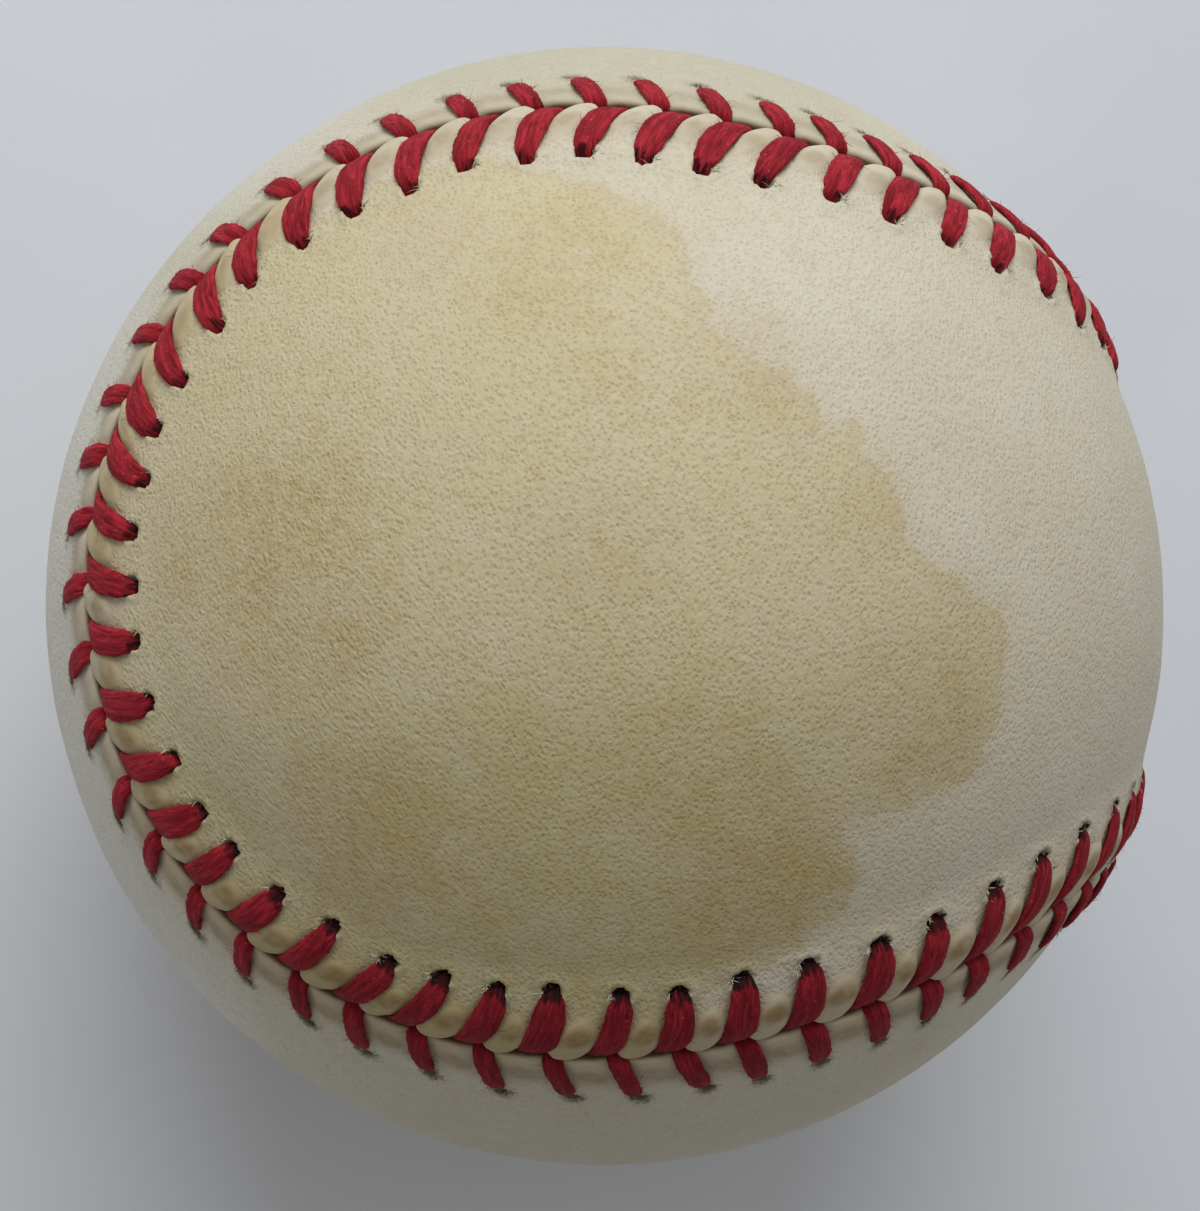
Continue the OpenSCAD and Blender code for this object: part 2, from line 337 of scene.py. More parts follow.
def lip_height(panel, run, distance, points):
    """Heights of a panel's lip, and the masks that its material reads."""
    index, past = stitch_near(panel, run, distance, strand_stop(panel, distance, AHEAD))
    to_middle = STITCH_PITCH / 2 - np.abs(past)
    rise = smooth(0, LIP_WIDTH - LIP_CREST, LIP_WIDTH - distance)
    front = 1 - FRONT_FALL[panel] * (1 - smooth(0, FRONT_DEPTH, distance))
    valley = (1 - smooth(*VALLEY_END, distance)) * smooth(VALLEY_WALL_REACH, VALLEY_FLOOR_REACH, np.abs(past))
    inward = distance - PILLOW_MIDDLE[panel]
    across = inward / np.where(inward > 0, PILLOW_INWARD[panel], PILLOW_OUTWARD[panel])
    from_middle = np.hypot(to_middle / PILLOW_ALONG[panel], across)
    from_middle = from_middle + noises(points, PILLOW_WANDER)
    dome = np.sqrt(np.clip(PILLOW_END_SHARE - from_middle ** 2, 0, 1))
    across_rub = (distance - RUB_MIDDLE[panel]) / RUB_ACROSS[panel]
    rub = np.exp(-(to_middle / RUB_ALONG[panel]) ** 2 - across_rub ** 2)
    height = LIP_TOP[panel] * rise * front - VALLEY_DROP * valley
    height = height + PILLOW_TOP[panel] * PILLOW_SCALE[panel][index] * dome
    height = height - RUB_DENT[panel] * rub

    hole = np.full_like(run, HOLE_DISTANCE[panel])
    index, past = stitch_near(panel, run, hole, np.full_like(run, HOLE_AHEAD[panel]))
    beyond = distance - hole - HOLE_ACROSS_SHIFT[panel][index] - HOLE_BEYOND[panel]
    from_hole = np.hypot(past / HOLE_REACH_ALONG[panel], beyond / HOLE_REACH_ACROSS[panel])
    ragged = from_hole + noises(points, HOLE_RAGGED)
    pit = 1 - smooth(*HOLE_WALL_SHARES, ragged)
    rim = RIM_TOP * np.exp(-((ragged - RIM_SHARE) / RIM_WIDTH_SHARE) ** 2)
    from_smudge_and_shade = np.hypot(
        (past - SMUDGE_AND_SHADE_PAST[panel]) / SMUDGE_AND_SHADE_ALONG[panel],
        (beyond - SMUDGE_AND_SHADE_BEYOND[panel]) / SMUDGE_AND_SHADE_ACROSS[panel],
    )
    masks = {
        "distance": distance,
        "pillow_middle": from_middle,
        "rub": rub,
        "pit": pit,
        "from_hole": from_hole,
        "from_smudge_and_shade": from_smudge_and_shade,
    }
    return height + rim + (HOLE_FLOOR - height) * pit, masks


def leather_point(panel, run, distance):
    """Points of a panel's outer surface."""
    base = seam_point(run, panel * distance, np.zeros_like(run))
    height, _ = lip_height(panel, run, distance, base)
    return unit(base) * (BALL_R + height + noises(base, UNEVENNESS))[:, None]


def add_object(name, data):
    """A new object in the scene."""
    piece = bpy.data.objects.new(name, data)
    bpy.context.scene.collection.objects.link(piece)
    return piece


def make_mesh(name, points, faces, attributes):
    """A mesh object from points in millimetres, with smooth faces and named float attributes."""
    mesh = bpy.data.meshes.new(name)
    mesh.from_pydata((points * MM).tolist(), [], faces)
    mesh.update()
    mesh.shade_smooth()
    for key, values in attributes.items():
        kind, field = ("FLOAT_VECTOR", "vector") if values.ndim == 2 else ("FLOAT", "value")
        layer = mesh.attributes.new(key, kind, "POINT")
        layer.data.foreach_set(field, values.astype(np.float32).ravel())
    return add_object(name, mesh)


# Panel meshes: fine columns along the lip, three to each column inside it, and where the lip's band ends
FINE_PER_STITCH = 16
FINE_COLUMNS = FINE_PER_STITCH * STITCH_COUNT
COARSE_STEP = 3
COARSE_COLUMNS = FINE_COLUMNS // COARSE_STEP
INNER_POINTS = 40
UNDER_POINTS = 12
BAND_END = 7.9

# The lip's front below its round edge, as how far in from the edge and down from the round, the steps of
# the round, and how many steps of which length go in over the lip
FRONT_STOPS = np.array([(0.16, 0.75), (0.04, 0.42), (0.0, 0.20)])
EDGE_STEPS = 7
BAND_STEPS = ((26, 0.16), (7, 0.24), (4, 0.37))
BAND_MARGIN = 0.3

# What the masks say beyond the band
FAR_MASKS = dict(distance=9, pillow_middle=9, from_hole=9, from_smudge_and_shade=9, rub=0, pit=0, down=0)

# Underneath, the room for the thread, from just inside the lip's edge to where it closes past the holes
UNDERSIDE = -LEATHER_THICKNESS
THREAD_ROOM = 0.52
ROOM_START = 0.1
ROOM_PAST_HOLE = 0.9
ROOM_CLOSED_PAST_HOLE = 1.7


def ring_faces(first, second, count, turned):
    """Quads between two rings of count points that start at the given indices."""
    faces = []
    for c in range(count):
        d = (c + 1) % count
        quad = (first + c, first + d, second + d, second + c)
        faces.append(quad[::-1] if turned else quad)
    return faces


def step_faces(fine, coarse, turned):
    """Faces between a fine ring and the coarse ring beside it."""
    faces = []
    for c in range(COARSE_COLUMNS):
        here = coarse + c
        following = coarse + (c + 1) % COARSE_COLUMNS
        f = [fine + (COARSE_STEP * c + k) % FINE_COLUMNS for k in range(COARSE_STEP + 1)]
        for face in ((f[0], f[1], here), (f[1], f[2], following, here), (f[2], f[3], following)):
            faces.append(face[::-1] if turned else face)
    return faces


def inside_rows(ring, points, radius_of, start, across, turned):
    """Points and faces that close a panel inside its coarse ring, in rows from tip to tip."""
    half = COARSE_COLUMNS // 2
    share = np.linspace(0, 1, across + 1)[1:-1, None]
    base = len(points)
    ways = []
    rows = []
    for r in range(1, half):
        left = ring + (start + r) % COARSE_COLUMNS
        right = ring + (start - r) % COARSE_COLUMNS
        first = base + (r - 1) * (across - 1)
        ways.append(unit(points[left] * (1 - share) + points[right] * share))
        rows.append([left, *range(first, first + across - 1), right])
    near_tip = ring + start % COARSE_COLUMNS
    far_tip = ring + (start + half) % COARSE_COLUMNS
    faces = []
    for k in range(across):
        faces.append((near_tip, rows[0][k], rows[0][k + 1]))
        faces.append((far_tip, rows[-1][k + 1], rows[-1][k]))
    for one, two in zip(rows, rows[1:]):
        for k in range(across):
            faces.append((one[k], two[k], two[k + 1], one[k + 1]))
    if turned:
        faces = [face[::-1] for face in faces]
    way = np.concatenate(ways)
    return way * radius_of(way)[:, None], faces


def lip_profile(panel):
    """The lip's section from its foot to the end of the band: how far in and how far down."""
    angle = np.radians(np.linspace(0, 90, EDGE_STEPS))
    edge = EDGE_ROUND[panel]
    flat_in = edge + np.cumsum(np.concatenate([np.full(count, step) for count, step in BAND_STEPS]))
    flat_in = flat_in[flat_in < BAND_END - BAND_MARGIN]
    inward = np.concatenate([FRONT_STOPS[:, 0], edge * (1 - np.cos(angle)), flat_in])
    down = np.concatenate([FRONT_STOPS[:, 1] + edge, edge * (1 - np.sin(angle)), np.zeros_like(flat_in)])
    return inward, down


def lip_band(panel):
    """The rings of a panel's lip from its foot inwards, and their masks."""
    run = np.arange(FINE_COLUMNS) * SEAM_LENGTH / FINE_COLUMNS
    edge = lip_edge(panel, run)
    rings = []
    masks = []
    for inward, down in zip(*lip_profile(panel)):
        distance = edge * (1 - smooth(0, LIP_WIDTH, inward)) + inward
        base = seam_point(run, panel * distance, np.zeros_like(run))
        height, ring_masks = lip_height(panel, run, distance, base)
        ring_masks["down"] = np.full_like(run, down)
        rings.append(unit(base) * (BALL_R + height - down + noises(base, UNEVENNESS))[:, None])
        masks.append(ring_masks)
    return rings, masks


def coarse_ring(panel, distance, height):
    """A ring of coarse columns at a distance from the seam and a height."""
    run = np.arange(COARSE_COLUMNS) * SEAM_LENGTH / COARSE_COLUMNS
    return seam_point(run, np.full_like(run, panel * distance), np.full_like(run, height))


def top_radius(way):
    """How far out the leather's face lies in some directions."""
    return BALL_R + noises(way * BALL_R, UNEVENNESS)


def under_radius(way):
    """How far out the leather's underside lies in some directions."""
    return np.full(len(way), LEATHER_IN)


def make_panel(name, panel):
    """One panel as a closed shell: lip band, inside, and underside."""
    rings, masks = lip_band(panel)
    top_way = unit(coarse_ring(panel, BAND_END, 0))
    under_rings = [
        coarse_ring(panel, EDGE_BACK[panel] + ROOM_START, UNDERSIDE + THREAD_ROOM),
        coarse_ring(panel, HOLE_DISTANCE[panel] + ROOM_PAST_HOLE, UNDERSIDE + THREAD_ROOM),
        coarse_ring(panel, HOLE_DISTANCE[panel] + ROOM_CLOSED_PAST_HOLE, UNDERSIDE),
        coarse_ring(panel, BAND_END, UNDERSIDE),
    ]
    points = np.concatenate([*rings, top_way * top_radius(top_way)[:, None], *under_rings])
    turned = panel == PANEL_A
    last_fine = (len(rings) - 1) * FINE_COLUMNS
    top = last_fine + FINE_COLUMNS
    under = top + COARSE_COLUMNS
    last_under = under + (len(under_rings) - 1) * COARSE_COLUMNS
    faces = []
    for start in range(0, last_fine, FINE_COLUMNS):
        faces += ring_faces(start, start + FINE_COLUMNS, FINE_COLUMNS, turned)
    faces += step_faces(last_fine, top, turned)
    faces += step_faces(0, under, not turned)
    for start in range(under, last_under, COARSE_COLUMNS):
        faces += ring_faces(start, start + COARSE_COLUMNS, COARSE_COLUMNS, not turned)
    tip = 0 if panel == PANEL_A else COARSE_COLUMNS // 4
    for ring, radius_of, across, flipped in (
        (top, top_radius, INNER_POINTS, turned),
        (last_under, under_radius, UNDER_POINTS, not turned),
    ):
        inside, new_faces = inside_rows(ring, points, radius_of, tip, across, flipped)
        points = np.concatenate([points, inside])
        faces += new_faces
    attributes = {}
    for key, far in FAR_MASKS.items():
        beyond_band = np.full(len(points) - top, far)
        attributes[key] = np.concatenate([*(ring[key] for ring in masks), beyond_band])
    return make_mesh(name, points, faces, attributes)


# Threads: the rings of a strand, of which the first stand upright in its hole, and those under the
# leather on the way to the next strand
STRAND_SIDES = 20
STRAND_RINGS = 26
UPRIGHT_RINGS = 3
HIDDEN_RINGS = 3

# A strand's section: the powers that square a circle's width and height, the height in the grooves and
# what the plies add to it, and the half waves of plies from the middle to a side
WIDE_POWER = 0.8
DEEP_POWER = 0.75
GROOVE_HEIGHT = 0.80
PLY_HEIGHT = 0.24
PLY_WAVE = 1.5

# How far the grooves turn per millimetre from a strand's middle, and their largest turn there
GROOVE_TURN = 0.3
STRAND_MIDDLE = 3.0
MOST_TWIST = 6.3

# The distances from the seam between which a strand's flat side turns along it
FLAT_TURN = (3.2, 1.2)

# The frayed sides of a strand: noises, and the lengths from its foot over which they set in
STRAND_FRAY = ((0.40, 0.07, 32), (0.16, 0.04, 33))
STRAND_FRAY_START = (0.5, 1.6)

# The dark end of a strand, part dirt and part painted shade of its hole: the lengths from its foot over which
# it fades
DARK_END = by_panel((1.10, 2.00), (1.0, 1.45))


def curve_through(stops, count):
    """Points evenly spread along a smooth curve through stops."""
    padded = np.concatenate([[2 * stops[0] - stops[1]], stops, [2 * stops[-1] - stops[-2]]])
    place = np.linspace(0, len(stops) - 1, count)
    k = np.minimum(place.astype(int), len(stops) - 2)
    t = (place - k)[:, None]
    a, b, c, d = (padded[k + j] for j in range(4))
    bend = (2 * a - 5 * b + 4 * c - d) * t * t + (3 * b - a - 3 * c + d) * t ** 3
    return 0.5 * (2 * b + (c - a) * t + bend)


def powered(way, power):
    """Numbers to a power, with their signs kept."""
    return np.sign(way) * np.abs(way) ** power


def strand_rings(stitch, panel, face):
    """The rings of one strand, and the marks of their points that the thread's material reads."""
    stops = STRAND_STOPS[panel].copy()
    share = hole_share(panel, stops[:, DISTANCE])
    stops[:, AHEAD] += stitch_run(panel, stitch, stops[:, DISTANCE])
    stops[:, DISTANCE] += HOLE_ACROSS_SHIFT[panel][stitch] * share ** 2
    stops[:, WIDTH] *= STRAND_SCALE[panel][stitch]
    run, distance, height, width, thickness = curve_through(stops, STRAND_RINGS).T
    centre = seam_point(run, panel * distance, height)
    out = unit(centre)
    heading = np.gradient(seam_point(run, panel * distance, np.zeros_like(run)), axis=0)
    heading[:UPRIGHT_RINGS] = heading[UPRIGHT_RINGS]
    heading = unit(heading - out * np.sum(heading * out, axis=1, keepdims=True))
    wide = unit(np.cross(out, heading))
    along, _, _ = ways_at(panel, run, distance)
    along = along * np.sign(np.sum(along * wide, axis=1, keepdims=True))
    slant = smooth(*FLAT_TURN, distance)[:, None]
    wide = unit(wide * (1 - slant) + along * slant)
    deep = unit(np.cross(unit(np.gradient(centre, axis=0)), wide))
    length = length_along(centre)
    twist = MOST_TWIST * noise(np.array([[stitch * 1.7, panel * 3.1, 0.5]]), 31)
    twist = twist + GROOVE_TURN * (length - STRAND_MIDDLE)

    angle = 2 * math.pi * np.arange(STRAND_SIDES) / STRAND_SIDES
    across = powered(np.cos(angle), WIDE_POWER)
    ply = np.abs(np.cos(PLY_WAVE * math.pi * across + twist[:, None]))
    up = powered(np.sin(angle), DEEP_POWER) * (GROOVE_HEIGHT + PLY_HEIGHT * ply)
    x = face * across * width[:, None] / 2
    y = face * up * thickness[:, None] / 2
    rings = wide[:, None] * x[..., None] + deep[:, None] * y[..., None]
    fray = noises(centre[:, None] + rings, STRAND_FRAY) * across ** 2
    fray = fray * smooth(*STRAND_FRAY_START, length)[:, None]
    rings = centre[:, None] + rings + unit(rings) * fray[..., None]
    flat = np.ones_like(x)
    number = stitch if panel == PANEL_A else stitch + 0.5
    strand = np.stack([x, flat * length[:, None], flat * number], axis=-1)
    return rings, {"strand": strand, "dark_end": flat - smooth(*DARK_END[panel], length)[:, None]}


def make_thread(name, first_panel):
    """One end of the thread: strand after strand on alternate panels, joined under the leather."""
    strands = []
    for stitch in range(STITCH_COUNT):
        side = 1 if stitch % 2 == 0 else -1
        strands.append(strand_rings(stitch, side * first_panel, side))
    share = np.arange(1, HIDDEN_RINGS + 1)[:, None, None] / (HIDDEN_RINGS + 1)
    rings = []
    for stitch, (strand, _) in enumerate(strands):
        following, _ = strands[(stitch + 1) % STITCH_COUNT]
        hidden = strand[-1] * (1 - share) + following[0] * share
        depth = np.linalg.norm(hidden.mean(axis=1), axis=1)[:, None, None]
        rings += [strand, hidden * (BALL_R + THREAD_FOOT) / depth]
    points = np.concatenate(np.concatenate(rings))
    marked = np.minimum(np.arange(STRAND_RINGS + HIDDEN_RINGS), STRAND_RINGS - 1)
    attributes = {}
    for key in ("strand", "dark_end"):
        attributes[key] = np.concatenate(np.concatenate([marks[key][marked] for _, marks in strands]))
    faces = []
    for start in range(0, len(points), STRAND_SIDES):
        faces += ring_faces(start, (start + STRAND_SIDES) % len(points), STRAND_SIDES, False)
    return make_mesh(name, points, faces, attributes)


# Fibres: closed spikes, with rings at shares of their length that have shares of their radius
FIBRE_SIDES = 3
FIBRE_RINGS = ((0.0, 1.0), (0.55, 0.75))

# Torn fibres: where they stand round a hole (an angle from straight away from the seam, with its spread,
# and a share of the reach), how they lean out from the hole, away from the seam and up, how they bend,
# their lengths and radii, and how brown they are
FRAY_SIDE = by_panel((1.5, 0.35), (-0.4, 0.8))
FRAY_REACH = (0.8, 1.3)
FRAY_LEAN = by_panel(0.4, 0.45)
FRAY_LEAN_SPREAD = 0.45
FRAY_PUSH = by_panel((-0.5, 0.35), (0.45, 0.35))
FRAY_RISE = (0.15, 0.6)
FRAY_DROP = (-0.45, -0.05)
FRAY_BEND_SPREAD = 0.25
FRAY_LENGTH = by_panel((0.25, 0.75), (0.15, 0.45))
FRAY_RADIUS = by_panel((0.018, 0.040), (0.012, 0.024))
FRAY_TONE = by_panel((0.15, 0.25), (0.80, 0.25))
FRAY_ROOT_DEPTH = 0.02

# Splits at panel a's holes, painted dark as the shade inside them: where they start, their lengths, radii,
# bends and depth, and how much smaller they are higher on the ball
CRACK_ANGLES = (-1.7, 1.5)
CRACK_REACH = 0.6
CRACK_LENGTH = (0.20, 0.62)
CRACK_RADIUS = (0.06, 0.13)
CRACK_BEND_SPREAD = 0.15
CRACK_ROOT_DEPTH = 0.03
CRACK_FADE = (-12, 16)
CRACK_LOSS = 0.65
# The splits' tone, past both of the fibres' tones: painted shade
CRACK_SHADE_TONE = 3.0

# Loose fibres: how near the seam and the holes they come, how many stand at a strand's sides and at which
# share of its width, where the rest stand, how high the strand's round is, how they lean out from its
# middle, along it and up, how they bend, and their lengths and radii
LOOSE_MARGINS = (0.5, 0.2)
LOOSE_AT_SIDE = 0.7
LOOSE_SIDE_SHARE = 0.92
LOOSE_REST_SHARES = (0, 0.8)
LOOSE_ROUND = 0.2
LOOSE_LEANS = (0.1, 0.8)
LOOSE_SPREAD = 0.9
LOOSE_RISE = (0.05, 0.5)
LOOSE_DROP = (-0.4, 0.2)
LOOSE_BEND_SPREAD = 0.35
LOOSE_LENGTH = (0.25, 0.75)
LOOSE_RADIUS = (0.010, 0.020)


def make_fibres(name, roots, ways, bends, lengths, radii, tones):
    """Spikes from roots, each along its way and bent a little by its bend."""
    wide = unit(np.cross(ways, unit(roots)))
    deep = unit(np.cross(ways, wide))
    rings = []
    for share, slim in FIBRE_RINGS:
        centres = roots + ways * (lengths * share)[:, None] + bends * (lengths * share ** 2)[:, None]
        for k in range(FIBRE_SIDES):
            angle = 2 * math.pi * k / FIBRE_SIDES
            way = wide * math.cos(angle) + deep * math.sin(angle)
            rings.append(centres + (radii * slim)[:, None] * way)
    rings.append(roots + (ways + bends) * lengths[:, None])
    points = np.stack(rings, axis=1).reshape(-1, 3)
    per_fibre = len(rings)
    faces = []
    for start in range(0, len(points), per_fibre):
        upper = start + FIBRE_SIDES
        faces.append((start + 2, start + 1, start))
        for k in range(FIBRE_SIDES):
            n = (k + 1) % FIBRE_SIDES
            faces.append((start + k, start + n, upper + n, upper + k))
            faces.append((upper + k, upper + n, start + per_fibre - 1))
    return make_mesh(name, points, faces, {"tone": np.repeat(tones, per_fibre)})


def round_hole(panel, stitch, angle, reach):
    """Runs and distances of places round holes, at an angle and a share of a hole's reach."""
    hole = HOLE_DISTANCE[panel]
    ahead = HOLE_AHEAD[panel] + np.sin(angle) * HOLE_REACH_ALONG[panel] * reach
    beyond = HOLE_BEYOND[panel] + np.cos(angle) * HOLE_REACH_ACROSS[panel] * reach
    return stitch_run(panel, stitch, hole) + ahead, hole + HOLE_ACROSS_SHIFT[panel][stitch] + beyond


def torn_leather(panel, per_hole, seed):
    """Roots and shapes of the torn fibres round the holes of a panel."""
    chance = np.random.default_rng(seed)
    stitch = np.repeat(STITCHES, per_hole)
    count = len(stitch)
    angle = chance.normal(*FRAY_SIDE[panel], count)
    run, distance = round_hole(panel, stitch, angle, chance.uniform(*FRAY_REACH, count))
    along, away, out = ways_at(panel, run, distance)
    roots = leather_point(panel, run, distance) - out * FRAY_ROOT_DEPTH
    leans = (
        FRAY_LEAN[panel] * np.sin(angle) + chance.normal(0, FRAY_LEAN_SPREAD, count),
        FRAY_LEAN[panel] * np.cos(angle) + chance.normal(*FRAY_PUSH[panel], count),
        chance.uniform(*FRAY_RISE, count),
    )
    ways = unit(mixed((along, away, out), leans))
    drop = chance.uniform(*FRAY_DROP, count)
    bends = mixed((out, along), (drop, chance.normal(0, FRAY_BEND_SPREAD, count)))
    lengths = chance.uniform(*FRAY_LENGTH[panel], count)
    radii = chance.uniform(*FRAY_RADIUS[panel], count)
    return roots, ways, bends, lengths, radii, chance.normal(*FRAY_TONE[panel], count).clip(0, 1)


def cracks(panel, per_hole, seed):
    """Roots and shapes of the splits that run out from the holes of a panel, painted dark as the shade in
    them.
    """
    chance = np.random.default_rng(seed)
    stitch = np.repeat(STITCHES, per_hole)
    count = len(stitch)
    angle = chance.uniform(*CRACK_ANGLES, count)
    run, distance = round_hole(panel, stitch, angle, CRACK_REACH)
    lengths = chance.uniform(*CRACK_LENGTH, count)
    along, away, _ = ways_at(panel, run, distance)
    ways = unit(mixed((along, away), (np.sin(angle), np.cos(angle))))
    tips = leather_point(panel, run + lengths * np.sin(angle), distance + lengths * np.cos(angle))
    roots = seam_point(run, panel * distance, np.linalg.norm(tips, axis=1) - BALL_R - CRACK_ROOT_DEPTH)
    bends = along * chance.normal(0, CRACK_BEND_SPREAD, count)[:, None]
    smaller = 1 - CRACK_LOSS * smooth(*CRACK_FADE, roots[:, 1])
    radii = chance.uniform(*CRACK_RADIUS, count) * smaller
    return roots, ways, bends, lengths * smaller, radii, np.full(count, CRACK_SHADE_TONE)


def loose_thread(panel, per_strand, seed):
    """Roots and shapes of the fine fibres that stand off the strands on a panel, most at their sides."""
    chance = np.random.default_rng(seed)
    stitch = np.repeat(STITCHES, per_strand)
    count = len(stitch)
    distance = chance.uniform(LOOSE_MARGINS[0], HOLE_DISTANCE[panel] - LOOSE_MARGINS[1], count)
    width = strand_stop(panel, distance, WIDTH) * STRAND_SCALE[panel][stitch]
    side = chance.choice([-1.0, 1.0], count)
    at_side = chance.random(count) < LOOSE_AT_SIDE
    from_middle = np.where(at_side, LOOSE_SIDE_SHARE, chance.uniform(*LOOSE_REST_SHARES, count))
    aside = side * width / 2 * from_middle
    run = stitch_run(panel, stitch, distance) + strand_stop(panel, distance, AHEAD) + aside
    top = strand_stop(panel, distance, HEIGHT) + LOOSE_ROUND * np.sqrt(1 - from_middle ** 2)
    distance = distance + HOLE_ACROSS_SHIFT[panel][stitch] * hole_share(panel, distance) ** 2
    along, away, out = ways_at(panel, run, distance)
    roots = seam_point(run, panel * distance, top)
    leans = (
        side * chance.uniform(*LOOSE_LEANS, count),
        chance.normal(0, LOOSE_SPREAD, count),
        chance.uniform(*LOOSE_RISE, count),
    )
    ways = unit(mixed((along, away, out), leans))
    drop = chance.uniform(*LOOSE_DROP, count)
    bends = mixed((out, along), (drop, chance.normal(0, LOOSE_BEND_SPREAD, count)))
    lengths = chance.uniform(*LOOSE_LENGTH, count)
    radii = chance.uniform(*LOOSE_RADIUS, count)
    return roots, ways, bends, lengths, radii, chance.random(count)


def joined(*parts):
    """Fibre shapes of several places in one."""
    return [np.concatenate(values) for values in zip(*parts)]


# The camera: the photograph's frame and the ball's outline in it in pixels, how far away the camera
# stands, and which ways are right and up for it
PHOTO_W = 1200
PHOTO_H = 1211
BALL_PX = (604.5, 606.0)
BALL_R_PX = 559.0
CAMERA_DISTANCE = 3.85 * BALL_R
CAMERA_RIGHT = Vector((0.9764, -0.0483, 0.2104))
CAMERA_UP = Vector((0.0306, 0.9958, 0.0865))
SENSOR_WIDTH = 36

camera_back = CAMERA_RIGHT.cross(CAMERA_UP).normalized()
camera_up = (CAMERA_UP - camera_back * CAMERA_UP.dot(camera_back)).normalized()
camera_right = camera_up.cross(camera_back)
focal_px = BALL_R_PX * math.sqrt((CAMERA_DISTANCE / BALL_R) ** 2 - 1)
camera_place = camera_back * CAMERA_DISTANCE
camera_place = camera_place - camera_right * ((BALL_PX[0] - PHOTO_W / 2) / focal_px * CAMERA_DISTANCE)
camera_place = camera_place + camera_up * ((BALL_PX[1] - PHOTO_H / 2) / focal_px * CAMERA_DISTANCE)


def make_camera():
    """The camera at its place."""
    lens = bpy.data.cameras.new("camera")
    lens.sensor_width = SENSOR_WIDTH
    lens.lens = focal_px / PHOTO_H * SENSOR_WIDTH
    lens.clip_start = 0.005
    lens.clip_end = 20
    turn = Matrix((camera_right, camera_up, camera_back)).transposed()
    camera = add_object("camera", lens)
    camera.matrix_world = Matrix.Translation(camera_place * MM) @ turn.to_4x4()
    bpy.context.scene.camera = camera


def on_ball(x, y):
    """The unit direction of the place on the ball that shows at a pixel of the photograph."""
    ray = (
        camera_right * ((x - PHOTO_W / 2) / focal_px)
        - camera_up * ((y - PHOTO_H / 2) / focal_px)
        - camera_back
    )
    along = camera_place.dot(ray)
    square = ray.length_squared
    reach = along * along - square * (camera_place.length_squared - BALL_R ** 2)
    t = (-along - math.sqrt(max(reach, 0))) / square
    return (camera_place + ray * t).normalized()


class Graph:
    """Short calls that add nodes to a tree; a value is a number, a tuple or another node's output."""

    def __init__(self, tree):
        self.tree = tree

    def feed(self, socket, value):
        if isinstance(value, bpy.types.NodeSocket):
            self.tree.links.new(value, socket)
        else:
            socket.default_value = value

    def node(self, kind, inputs, **settings):
        """The outputs of a new node with some inputs, by name or number, and settings."""
        node = self.tree.nodes.new("ShaderNode" + kind)
        for key, value in settings.items():
            setattr(node, key, value)
        for key, value in inputs.items():
            self.feed(node.inputs[key], value)
        return node.outputs

    def math(self, kind, *values, clamp=False):
        return self.node("Math", dict(enumerate(values)), operation=kind, use_clamp=clamp)[0]

    def times(self, first, *others):
        for other in others:
            first = self.math("MULTIPLY", first, other)
        return first

    def swing(self, cloud, most):
        """A noise from 0 to 1 as a swing to either side of 0."""
        return self.times(self.math("SUBTRACT", cloud, 0.5), most)

    def vector(self, kind, *values, output=0):
        return self.node("VectorMath", dict(enumerate(values)), operation=kind)[output]

    def range(self, value, low, high, to_low=0.0, to_high=1.0):
        """A smooth change from to_low to to_high while the value goes from low to high."""
        inputs = {"Value": value, "From Min": low, "From Max": high, "To Min": to_low, "To Max": to_high}
        return self.node("MapRange", inputs, interpolation_type="SMOOTHSTEP")[0]

    def noise(self, place, per_mm, detail=2.0, roughness=0.5, distortion=0.0):
        """A noise from 0 to 1 with about this many swells per millimetre."""
        inputs = dict(Vector=place, Scale=per_mm, Detail=detail, Roughness=roughness, Distortion=distortion)
        return self.node("TexNoise", inputs)["Fac"]

    def wandered(self, place, *swings):
        """A place shifted by noises, each of a scale per millimetre and a swing in millimetres."""
        for per_mm, swing in swings:
            cloud = self.node("TexNoise", {"Vector": place, "Scale": per_mm, "Detail": 3.0})["Color"]
            centred = self.vector("SUBTRACT", cloud, (0.5,) * 3)
            place = self.vector("MULTIPLY_ADD", centred, (swing,) * 3, place)
        return place

    def scaled(self, place, *scales):
        return self.vector("MULTIPLY", place, scales)

    def turned(self, place, angles):
        return self.node("Mapping", {"Vector": place, "Rotation": angles})[0]

    def mix(self, share, a, b):
        """Colour a, with a share of colour b in its place."""
        return self.node("Mix", {"Factor": share, 6: a, 7: b}, data_type="RGBA")[2]

    def attribute(self, name, output="Fac"):
        return self.node("Attribute", {}, attribute_name=name)[output]

    def bump(self, height, distance_mm, strength=1.0, below=None):
        """The normal of a relief, over the relief that is below it if there is one."""
        inputs = {"Height": height, "Distance": distance_mm * MM, "Strength": strength}
        if below is not None:
            inputs["Normal"] = below
        return self.node("Bump", inputs)["Normal"]


def rgb(red, green, blue):
    """A colour given as 0 to 255 in sRGB, as the shader wants it."""
    parts = []
    for value in (red, green, blue):
        share = value / 255
        parts.append(share / 12.92 if share <= 0.04045 else ((share + 0.055) / 1.055) ** 2.4)
    return (*parts, 1)


